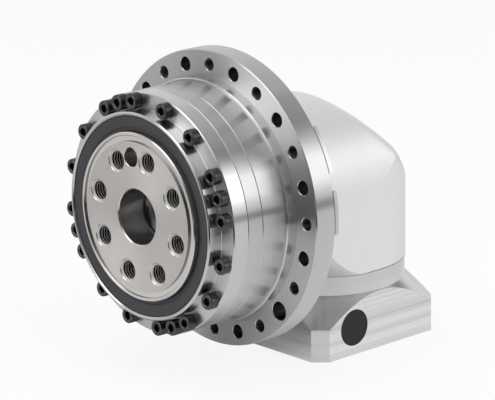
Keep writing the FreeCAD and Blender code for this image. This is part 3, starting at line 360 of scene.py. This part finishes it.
def blastedAluminium(look):  # blasted all over, but for the turned rim of its flange and ears
    material, tree, shader = newMaterial("blastedAluminium")
    vector = objectSpace(tree)
    grain = useGroup(tree, fineGrain, vector, Scale=look["grain"])
    lines = useGroup(tree, turningLines, vector, Pitch=look["pitch"], Drift=look["drift"])
    x, y, z = splitVector(tree, vector)
    outside = mathNode(tree, "GREATER_THAN", length2(tree, x, z), look["turnedRadius"])
    turned = mathNode(tree, "MULTIPLY", outside, mathNode(tree, "LESS_THAN", y, look["turnedY"]))
    tone = mathNode(tree, "ADD", mathNode(tree, "MULTIPLY", grain["Tone"], look["toneWeight"]),
                    mathNode(tree, "MULTIPLY", grain["Height"], look["grainWeight"]))
    height = blend(tree, turned, grain["Height"], mathNode(tree, "MULTIPLY", lines["Height"], look["turnedDepth"]))
    rough = blend(tree, turned, blend(tree, grain["Height"], *look["rough"]), look["turnedRough"])
    colour = blendColour(tree, turned, blendColour(tree, tone, look["dark"], look["light"]), look["turnedColour"])
    jointShadeWobble = noise(tree, vector, look["seamScale"], look["seamDetail"])  # painted shade: a dark line of uneven width along the joint, for the shadow in the gap above the collar
    jointShadeWobble = mathNode(tree, "MULTIPLY", jointShadeWobble, look["seamWidth"])
    jointShade = mathNode(tree, "LESS_THAN", z, mathNode(tree, "ADD", jointShadeWobble, look["seamZ"]))
    tree.links.new(blendColour(tree, jointShade, colour, look["jointShadeColour"]), shader.inputs["Base Color"])
    tree.links.new(rough, shader.inputs["Roughness"])
    tree.links.new(blend(tree, turned, look["metal"], look["turnedMetal"]), shader.inputs["Metallic"])
    addBump(tree, shader, height, look["depth"] * mm)
    return material


milledLook = dict(dark=(0.66, 0.66, 0.67), light=(0.91, 0.91, 0.92), rough=(0.2, 0.3), depth=0.010, turned=0.25,
                  stretch=0.8, streakSpace=(0.003, 0.003, 1), streakScale=900.0, fine=0.3,
                  wideSpace=(0.004, 0.004, 1), wideScale=190.0, streakLow=0.4, streakHigh=0.8, pitch=700.0,
                  drift=0.3, uprightFacing=0.2, flatTop=-68.7 * mm)


def milledAluminium(look):  # level milling streaks on the square base, turned lines on the collar and cone above
    material, tree, shader = newMaterial("milledAluminium")
    streaks = useGroup(tree, fineGrain, objectSpace(tree, scale=look["streakSpace"]), Scale=look["streakScale"])
    wide = useGroup(tree, fineGrain, objectSpace(tree, scale=look["wideSpace"]), Scale=look["wideScale"])
    turned = useGroup(tree, turningLines, axisSpace(tree, "Z"), Pitch=look["pitch"], Drift=look["drift"])
    facing = splitVector(tree, tree.nodes.new("ShaderNodeNewGeometry").outputs["Normal"])
    place = splitVector(tree, objectSpace(tree))
    upright = mathNode(tree, "LESS_THAN", mathNode(tree, "ABSOLUTE", facing[2]), look["uprightFacing"])
    side = mathNode(tree, "MULTIPLY", upright, mathNode(tree, "LESS_THAN", place[2], look["flatTop"]))
    milledHeight = mathNode(tree, "ADD", mathNode(tree, "MULTIPLY", streaks["Height"], look["fine"]), wide["Height"])
    height = blend(tree, side, mathNode(tree, "MULTIPLY", turned["Height"], look["turned"]), milledHeight)
    streakTone = smoothStep(tree, milledHeight, look["streakLow"], look["streakHigh"])
    tone = blend(tree, side, turned["Tone"], streakTone)
    tree.links.new(blendColour(tree, tone, look["dark"], look["light"]), shader.inputs["Base Color"])
    tree.links.new(blend(tree, tone, *look["rough"]), shader.inputs["Roughness"])
    shader.inputs["Metallic"].default_value = 1.0
    addBump(tree, shader, height, look["depth"] * mm)
    stretchHighlights(tree, shader, "Z", look["stretch"])
    return material


materials = {name: turnedMetal(name, look) for name, look in turnedLooks.items()}
materials.update({name: grainSurface(name, look) for name, look in grainLooks.items()})
materials["inputSteel"] = turnedMetal("inputSteel", turnedLooks["groundSteel"], "Z")
materials["blastedAluminium"] = blastedAluminium(castLook)
materials["milledAluminium"] = milledAluminium(milledLook)

nodeFinish = {
    "outputFace": ["output_flange"],
    "polishedRing": ["front_bearing_ring"],
    "turnedHousing": ["middle_bearing_ring", "pin_housing", "rear_carrier_plate"],
    "sealRubber": ["output_seal", "input_seal"],
    "blackOxide": ["case_screws", "elbow_screws", "adapter_screws", "carrier_screws", "clamp_screw",
                   "gear_end_screw", "pinion_end_screw", "front_circlip", "gear_bearing_circlip"],
    "blastedAluminium": ["elbow_housing"],
    "milledAluminium": ["motor_adapter"],
    "plugPlastic": ["access_plug"],
    "gearSteel": ["bevel_gear", "bevel_pinion"],
    "inputSteel": ["input_shaft"],
}
for node in nodes.values():
    paint(node, materials["groundSteel"])
for finish, names in nodeFinish.items():
    for name in names:
        paint(nodes[name], materials[finish])
print("materials on", len(nodes), "nodes")


# Socket head screws: the head's seat at y = 0, its socket towards -Y

headSize = dict(radius=5.0 * mm, rise=6.0 * mm, foot=0.25 * mm, ribs=44, ribDepth=0.10 * mm, ribStart=0.4 * mm,
                ribEnd=4.9 * mm, ribFade=0.1 * mm, frontRound=0.7 * mm, roundSteps=(0, 30, 60, 90),
                mouth=3.25 * mm, socket=5.0 * mm, socketDepth=3.2 * mm, socketFloor=(0.5, 0.25),
                shank=3.0 * mm, tip=0.7 * mm, smooth=32)
caseScrews = dict(seat=-50.3 * mm, circle=71.25 * mm, grip=38.0 * mm, flip=False,
                  angles=[-18.85 + quarter + step for quarter in (0, 90, 180, 270)
                          for step in (-11.2, 0, 11.2, 33.9, 56.1)])
elbowScrews = dict(seat=28.0 * mm, circle=69.5 * mm, grip=22.0 * mm, flip=True,
                   angles=[18 + 36 * step for step in range(10)])
socketTurn = 37  # each screw's socket stands this many degrees further round than the one before


def pullLoop(bm, edges, radius, y):  # carries a round loop on to another radius and level
    made = bmesh.ops.extrude_edge_only(bm, edges=edges)["geom"]
    verts = only(bmesh.types.BMVert, made)
    current = max(math.hypot(vert.co.x, vert.co.z) for vert in verts)
    bmesh.ops.scale(bm, verts=verts, vec=(radius / current, 1, radius / current))
    bmesh.ops.translate(bm, verts=verts, vec=(0, y - verts[0].co.y, 0))
    fresh = set(verts)
    return [edge for edge in only(bmesh.types.BMEdge, made) if all(vert in fresh for vert in edge.verts)]


def startLoop(bm, segments, radius, y):
    verts = bmesh.ops.create_circle(bm, segments=segments, radius=radius, cap_ends=False)["verts"]
    bmesh.ops.rotate(bm, verts=verts, cent=(0, 0, 0), matrix=Matrix.Rotation(math.radians(90), 3, "X"))
    bmesh.ops.translate(bm, verts=verts, vec=(0, y, 0))
    return list({edge for vert in verts for edge in vert.link_edges})


def pressRibs(bm, edges, size):  # every other corner of the loop goes in
    step = math.pi / size["ribs"]
    verts = {vert for edge in edges for vert in edge.verts}
    inner = [vert for vert in verts if round(math.atan2(vert.co.x, vert.co.z) / step) % 2]
    ratio = 1 - size["ribDepth"] / size["radius"]
    bmesh.ops.scale(bm, verts=inner, vec=(ratio, 1, ratio))


def buildScrew(bm, size, grip):
    segments = 2 * size["ribs"]
    radius, front = size["radius"], -size["rise"]
    seat = startLoop(bm, segments, radius - size["foot"], 0)
    shank = pullLoop(bm, seat, size["shank"], 0)
    shank = pullLoop(bm, shank, size["shank"], grip - size["tip"])
    shank = pullLoop(bm, shank, size["shank"] - size["tip"], grip)
    bmesh.ops.contextual_create(bm, geom=shank)
    side = pullLoop(bm, seat, radius, -size["foot"])
    ribStart = pullLoop(bm, side, radius, -size["ribStart"])
    ribEnd = pullLoop(bm, ribStart, radius, -size["ribEnd"])
    crown = radius - size["ribDepth"] / 2
    band = pullLoop(bm, ribEnd, crown, -size["ribEnd"] - size["ribFade"])
    for loop in (ribStart, ribEnd):
        pressRibs(bm, loop, size)
    edge = size["frontRound"]
    for turn in size["roundSteps"]:
        angle = math.radians(turn)
        band = pullLoop(bm, band, crown - edge * (1 - math.cos(angle)), front + edge * (1 - math.sin(angle)))
    mouth = pullLoop(bm, band, size["mouth"], front)
    corner = size["socket"] / math.sqrt(3)
    hexagon = startLoop(bm, 6, corner, front + size["mouth"] - corner)
    bmesh.ops.subdivide_edges(bm, edges=hexagon, cuts=segments // 6 - 1, use_grid_fill=False)
    hexagon = [item for item in bm.edges if not item.link_faces and item not in mouth and item.is_wire]
    bmesh.ops.bridge_loops(bm, edges=mouth + hexagon)
    wall = pullLoop(bm, hexagon, corner, front + size["socketDepth"])
    width, sink = (corner * share for share in size["socketFloor"])
    floor = pullLoop(bm, wall, width, front + size["socketDepth"] + sink)
    bmesh.ops.contextual_create(bm, geom=floor)
    for face in bm.faces:  # painted shade: the socket takes a darker, rougher black than the head, as shade in its recess
        middle = face.calc_center_median()
        if math.hypot(middle.x, middle.z) < corner and front + size["frontRound"] < middle.y < -size["foot"]:
            face.material_index = 1


def ringOfScrews(name, row, body):
    bm = bmesh.new()
    buildScrew(bm, headSize, row["grip"])
    if row["flip"]:
        bmesh.ops.rotate(bm, verts=bm.verts, cent=(0, 0, 0), matrix=Matrix.Rotation(math.radians(180), 3, "X"))
    master = bm.verts[:] + bm.edges[:] + bm.faces[:]
    for index, angle in enumerate(row["angles"]):
        verts = only(bmesh.types.BMVert, bmesh.ops.duplicate(bm, geom=master)["geom"])
        socket = Matrix.Rotation(math.radians(socketTurn * index % 60), 3, "Y")
        bmesh.ops.rotate(bm, verts=verts, cent=(0, 0, 0), matrix=socket)
        bmesh.ops.translate(bm, verts=verts, vec=(0, row["seat"], row["circle"]))
        bmesh.ops.rotate(bm, verts=verts, cent=(0, 0, 0), matrix=Matrix.Rotation(math.radians(angle), 3, "Y"))
    bmesh.ops.delete(bm, geom=only(bmesh.types.BMVert, master), context="VERTS")
    piece = addPiece(bm, name, body)
    smoothByAngle(piece.data, headSize["smooth"])
    paint(piece, materials["blackOxide"], materials["blackSocketShade"])
    print(name, len(piece.data.polygons), "faces")
    return piece


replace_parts(ringOfScrews("caseScrewHeads", caseScrews, "case"), "case_screws")
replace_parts(ringOfScrews("elbowScrewHeads", elbowScrews, "case"), "elbow_screws")


# Threads: the ridge of each tapped hole, and the countersink that leads into the output's

outputThread = dict(pitch=2.0 * mm, crest=5.9 * mm, root=7.0 * mm, circle=37.5 * mm, top=faceY + 0.45 * mm,
                    turns=7, steps=28, angles=[15.95 + 45 * step for step in range(8)], countersink=True,
                    leadSteps=40, finish=("shadedThreadFlank", "litThreadCrest", "countersink"))
flangeThread = dict(pitch=1.25 * mm, crest=3.35 * mm, root=4.0 * mm, circle=86.0 * mm, top=0.1 * mm,
                    turns=12, steps=18, angles=[30 * step for step in range(12)], countersink=False,
                    finish=("shadedThread",))
ridgeShape = ((0, 0.06), (1, 0.36), (1, 0.64), (0, 0.94))  # share of the depth, share of the pitch
buried = 0.01 * mm  # the ridge's foot stands this deep in the hole's wall
leadLand = 0.1 * mm  # short straight land under the countersink
crestShare = 0.1  # faces within this share of the depth from the crest are crest
threadSmooth = 40  # degrees


def closedOutline(bm, points):
    verts = [bm.verts.new(point) for point in points]
    return verts + [bm.edges.new(pair) for pair in zip(verts, verts[1:] + verts[:1])]


def threadHole(bm, size, centre):
    depth = size["root"] - size["crest"]
    foot, start = size["root"] + buried, size["top"]
    if size["countersink"]:
        start += depth
        outline = [(foot, size["top"]), (size["crest"], start), (size["crest"], start + leadLand),
                   (foot, start + leadLand)]
        lead = closedOutline(bm, [centre + Vector((radius, y, 0)) for radius, y in outline])
        bmesh.ops.spin(bm, geom=lead, cent=centre, axis=outputAxis, dvec=(0, 0, 0), angle=2 * math.pi,
                       steps=size["leadSteps"], use_merge=True, use_duplicate=False)
    points = [centre + Vector((foot - share * (depth + buried), start + height * size["pitch"], 0))
              for share, height in ridgeShape]
    ridge = closedOutline(bm, points)
    bmesh.ops.spin(bm, geom=ridge, cent=centre, axis=outputAxis,
                   dvec=outputAxis * (size["pitch"] / size["steps"]), angle=2 * math.pi * size["turns"],
                   steps=size["steps"] * size["turns"], use_merge=False, use_duplicate=False)
    ends = [edge for edge in bm.edges if edge.is_boundary]
    bmesh.ops.holes_fill(bm, edges=ends, sides=4)
    if not size["countersink"]:
        return
    for face in bm.faces:  # painted light and shade: the countersink and the crests are painted bright as if lit, the flanks dark as if in shade
        middle = face.calc_center_median() - centre
        away = math.hypot(middle.x, middle.z)
        if away < foot and middle.y < start:
            face.material_index = 2
        elif away < size["crest"] + crestShare * depth:
            face.material_index = 1


def threadRow(name, size, body):
    bm = bmesh.new()
    for angle in size["angles"]:
        threadHole(bm, size, polar(size["circle"], angle))
    piece = addPiece(bm, name, body)
    smoothByAngle(piece.data, threadSmooth)
    paint(piece, *(materials[finish] for finish in size["finish"]))
    print(name, len(piece.data.polygons), "faces")


threadRow("outputThreads", outputThread, "output")
threadRow("flangeThreads", flangeThread, "case")


# Small fillet where the nose meets the screw seat

noseFillet = dict(radius=65.5 * mm, seat=-50.3 * mm, size=0.55 * mm, hollow=0.3, buried=0.02 * mm,
                  steps=240, smooth=30)


def buildNoseFillet(size):
    bm = bmesh.new()
    foot, level, leg = size["radius"] - size["buried"], size["seat"] + size["buried"], size["size"]
    middle = size["hollow"] * leg
    outline = closedOutline(bm, [Vector((radius, y, 0)) for radius, y in
                                 ((foot, level), (foot, level - leg), (foot + middle, level - middle),
                                  (foot + leg, level))])
    bmesh.ops.spin(bm, geom=outline, cent=(0, 0, 0), axis=outputAxis, dvec=(0, 0, 0), angle=2 * math.pi,
                   steps=size["steps"], use_merge=True, use_duplicate=False)
    piece = addPiece(bm, "noseFillet", "case")
    smoothByAngle(piece.data, size["smooth"])
    paint(piece, materials["polishedRing"])


buildNoseFillet(noseFillet)
print("fillet ready")


# Camera, as the photograph was taken

cameraSet = dict(azimuth=47.58, elevation=15.451, roll=-0.887, lens=193.19, sensor=36.0, clip=(0.05, 50.0),
                 place=(1.2035, -1.0691, 0.4434))


def buildCamera():
    azimuth, elevation, roll = (math.radians(cameraSet[key]) for key in ("azimuth", "elevation", "roll"))
    back = Vector((math.sin(azimuth) * math.cos(elevation), -math.cos(azimuth) * math.cos(elevation),
                   math.sin(elevation)))
    level = Vector((math.cos(azimuth), math.sin(azimuth), 0))
    upright = back.cross(level)
    right = level * math.cos(roll) + upright * math.sin(roll)
    up = upright * math.cos(roll) - level * math.sin(roll)
    data = bpy.data.cameras.new("camera")
    data.sensor_width = cameraSet["sensor"]
    data.lens = cameraSet["lens"]
    data.clip_start, data.clip_end = cameraSet["clip"]
    camera = bpy.data.objects.new("camera", data)
    camera.matrix_world = Matrix((right, up, back)).transposed().to_4x4()
    camera.location = cameraSet["place"]
    scene.collection.objects.link(camera)
    scene.camera = camera


buildCamera()


# Studio. Azimuths run from +Y towards +X, in degrees, as (middle, half width).

studio = dict(floor=-107.8 * mm, whiteShare=0.88, plainLevel=0.5, metalFloor=0.72, farFloor=0.26, floorReach=1.15,
              cardWay=(0.34, -0.94), cardFrom=0.32, cardTo=4.0, cardHalf=0.6, cardLevel=0.03, cardSoft=(0.04, 0.05),
              farSoft=0.03, floorSize=4.0, floorColour=(0.86, 0.86, 0.87), floorRough=0.9, metalWalls=0.8,
              underLevel=0.2, horizon=(-3, 0), shadeX=-0.065, shadeFrom=0.06, shadeTo=0.14, shadeLevel=0.3)
lightPatches = [
    dict(azimuth=(-50, 45), elevation=(-5, 50), soft=12, level=0.78),  # left wall
    dict(azimuth=(0, 180), elevation=(45, 100), soft=8, level=0.45),  # ceiling
    dict(azimuth=(0, 180), elevation=(68, 100), soft=8, level=0.2),  # dark overhead
    dict(azimuth=(-128, 10), elevation=(-4, 32), soft=6, level=0.2),  # dark gap on the left in front
    dict(azimuth=(125, 30), elevation=(-10, 38), soft=8, level=0.06),  # dark round the camera
    dict(azimuth=(-166, 26), elevation=(9, 66), soft=5, level=1.8),  # softbox in front
    dict(azimuth=(6, 12), elevation=(-5, 42), soft=6, level=0.2),  # dark gap behind
    dict(azimuth=(30, 30), elevation=(34, 46), soft=2, level=0.24),  # dark edge over the rear softbox
    dict(azimuth=(40, 25), elevation=(3, 31), soft=5, level=1.15),  # softbox behind on the right
    dict(azimuth=(42, 9), elevation=(7, 26), soft=4, level=2.2),  # its bright middle
]

lamps = {
    "keyLamp": dict(place=(1.6, 0.2, 1.1), size=(1.4, 1.0), power=14),
    "topLamp": dict(place=(-0.2, -0.4, 1.8), size=(1.6, 1.2), power=12),
    "frontLamp": dict(place=(-1.2, -1.6, 0.9), size=(1.2, 1.0), power=8),
}


def rayKinds(tree):
    path = tree.nodes.new("ShaderNodeLightPath")
    seen = mathNode(tree, "MAXIMUM", path.outputs["Is Camera Ray"], path.outputs["Is Transmission Ray"])
    return seen, path.outputs["Is Glossy Ray"]


def buildFloor():
    bm = bmesh.new()
    bmesh.ops.create_grid(bm, x_segments=1, y_segments=1, size=studio["floorSize"])
    bmesh.ops.translate(bm, verts=bm.verts, vec=(0, 0, studio["floor"]))
    mesh = bpy.data.meshes.new("floor")
    bm.to_mesh(mesh)
    bm.free()
    floor = bpy.data.objects.new("floor", mesh)
    scene.collection.objects.link(floor)
    material, tree, shader = newMaterial("floorWhite")
    shader.inputs["Base Color"].default_value = studio["floorColour"] + (1,)
    shader.inputs["Roughness"].default_value = studio["floorRough"]
    shader.inputs["Specular IOR Level"].default_value = 0.0
    seen, glossy = rayKinds(tree)
    x, y, z = splitVector(tree, objectSpace(tree))
    wayX, wayY = studio["cardWay"]
    along = mathNode(tree, "ADD", mathNode(tree, "MULTIPLY", x, wayX), mathNode(tree, "MULTIPLY", y, wayY))
    across = mathNode(tree, "SUBTRACT", mathNode(tree, "MULTIPLY", x, wayY), mathNode(tree, "MULTIPLY", y, wayX))
    across = mathNode(tree, "ABSOLUTE", across)
    near, soft = studio["cardSoft"]  # the dark card that metal sees on the floor in front
    card = smoothStep(tree, along, studio["cardFrom"] - near, studio["cardFrom"] + near)
    for distance, end in ((along, studio["cardTo"]), (across, studio["cardHalf"])):
        card = mathNode(tree, "MULTIPLY", card, smoothStep(tree, distance, end + soft, end - soft))
    reach, soft = studio["floorReach"], studio["farSoft"]
    far = smoothStep(tree, length2(tree, x, y), reach - soft, reach + soft)
    under = length2(tree, mathNode(tree, "SUBTRACT", x, studio["shadeX"]), y)
    shade = smoothStep(tree, under, studio["shadeFrom"], studio["shadeTo"])
    pale = mathNode(tree, "MULTIPLY", blend(tree, shade, studio["shadeLevel"], 1.0), studio["metalFloor"])
    pale = blend(tree, card, pale, studio["cardLevel"])
    pale = blend(tree, far, pale, studio["farFloor"])
    glow = tree.nodes.new("ShaderNodeEmission")
    tree.links.new(blend(tree, glossy, 1.0, pale), glow.inputs["Strength"])
    share = mathNode(tree, "ADD", mathNode(tree, "MULTIPLY", seen, studio["whiteShare"]), glossy, clamp=True)
    mix = tree.nodes.new("ShaderNodeMixShader")
    tree.links.new(share, mix.inputs[0])
    tree.links.new(shader.outputs[0], mix.inputs[1])
    tree.links.new(glow.outputs[0], mix.inputs[2])
    beneath = tree.nodes.new("ShaderNodeMixShader")  # clear from below, where the motor face is
    tree.links.new(tree.nodes.new("ShaderNodeNewGeometry").outputs["Backfacing"], beneath.inputs[0])
    tree.links.new(mix.outputs[0], beneath.inputs[1])
    tree.links.new(tree.nodes.new("ShaderNodeBsdfTransparent").outputs[0], beneath.inputs[2])
    tree.links.new(beneath.outputs[0], tree.nodes["Material Output"].inputs["Surface"])
    paint(floor, material)


def patchMask(tree, azimuth, elevation, patch):
    middle, half = patch["azimuth"]
    low, high = patch["elevation"]
    soft = patch["soft"]
    mask = mathNode(tree, "MULTIPLY", smoothStep(tree, elevation, low - soft, low + soft),
                    smoothStep(tree, elevation, high + soft, high - soft))
    if half >= 180:
        return mask
    away = mathNode(tree, "WRAP", mathNode(tree, "SUBTRACT", azimuth, middle), 180, -180)
    away = mathNode(tree, "ABSOLUTE", away)
    return mathNode(tree, "MULTIPLY", mask, smoothStep(tree, away, half + soft, half - soft))


def buildWorld():
    world = bpy.data.worlds.new("studioWorld")
    world.use_nodes = True
    scene.world = world
    tree = world.node_tree
    background = tree.nodes["Background"]
    background.inputs["Color"].default_value = (1, 1, 1, 1)
    way = tree.nodes.new("ShaderNodeTexCoord").outputs["Generated"]
    x, y, z = splitVector(tree, way)
    azimuth = mathNode(tree, "DEGREES", mathNode(tree, "ARCTAN2", x, y))
    elevation = mathNode(tree, "DEGREES", mathNode(tree, "ARCSINE", z))
    above = smoothStep(tree, elevation, *studio["horizon"])
    level = blend(tree, above, studio["underLevel"], studio["metalWalls"])
    for patch in lightPatches:
        level = blend(tree, patchMask(tree, azimuth, elevation, patch), level, patch["level"])
    seen, glossy = rayKinds(tree)
    level = blend(tree, glossy, studio["plainLevel"], level)
    tree.links.new(blend(tree, seen, level, 1.0), background.inputs["Strength"])


def addLamp(name, place, size, power):
    data = bpy.data.lights.new(name, "AREA")
    data.shape = "RECTANGLE"
    data.size, data.size_y = size
    data.energy = power
    lamp = bpy.data.objects.new(name, data)
    lamp.location = place
    lamp.rotation_euler = (-Vector(place)).to_track_quat("-Z", "Y").to_euler()
    lamp.visible_glossy = False  # metal sees the soft patches of the world in its place
    scene.collection.objects.link(lamp)


buildFloor()
buildWorld()
for name, lamp in lamps.items():
    addLamp(name, **lamp)
print("studio ready")
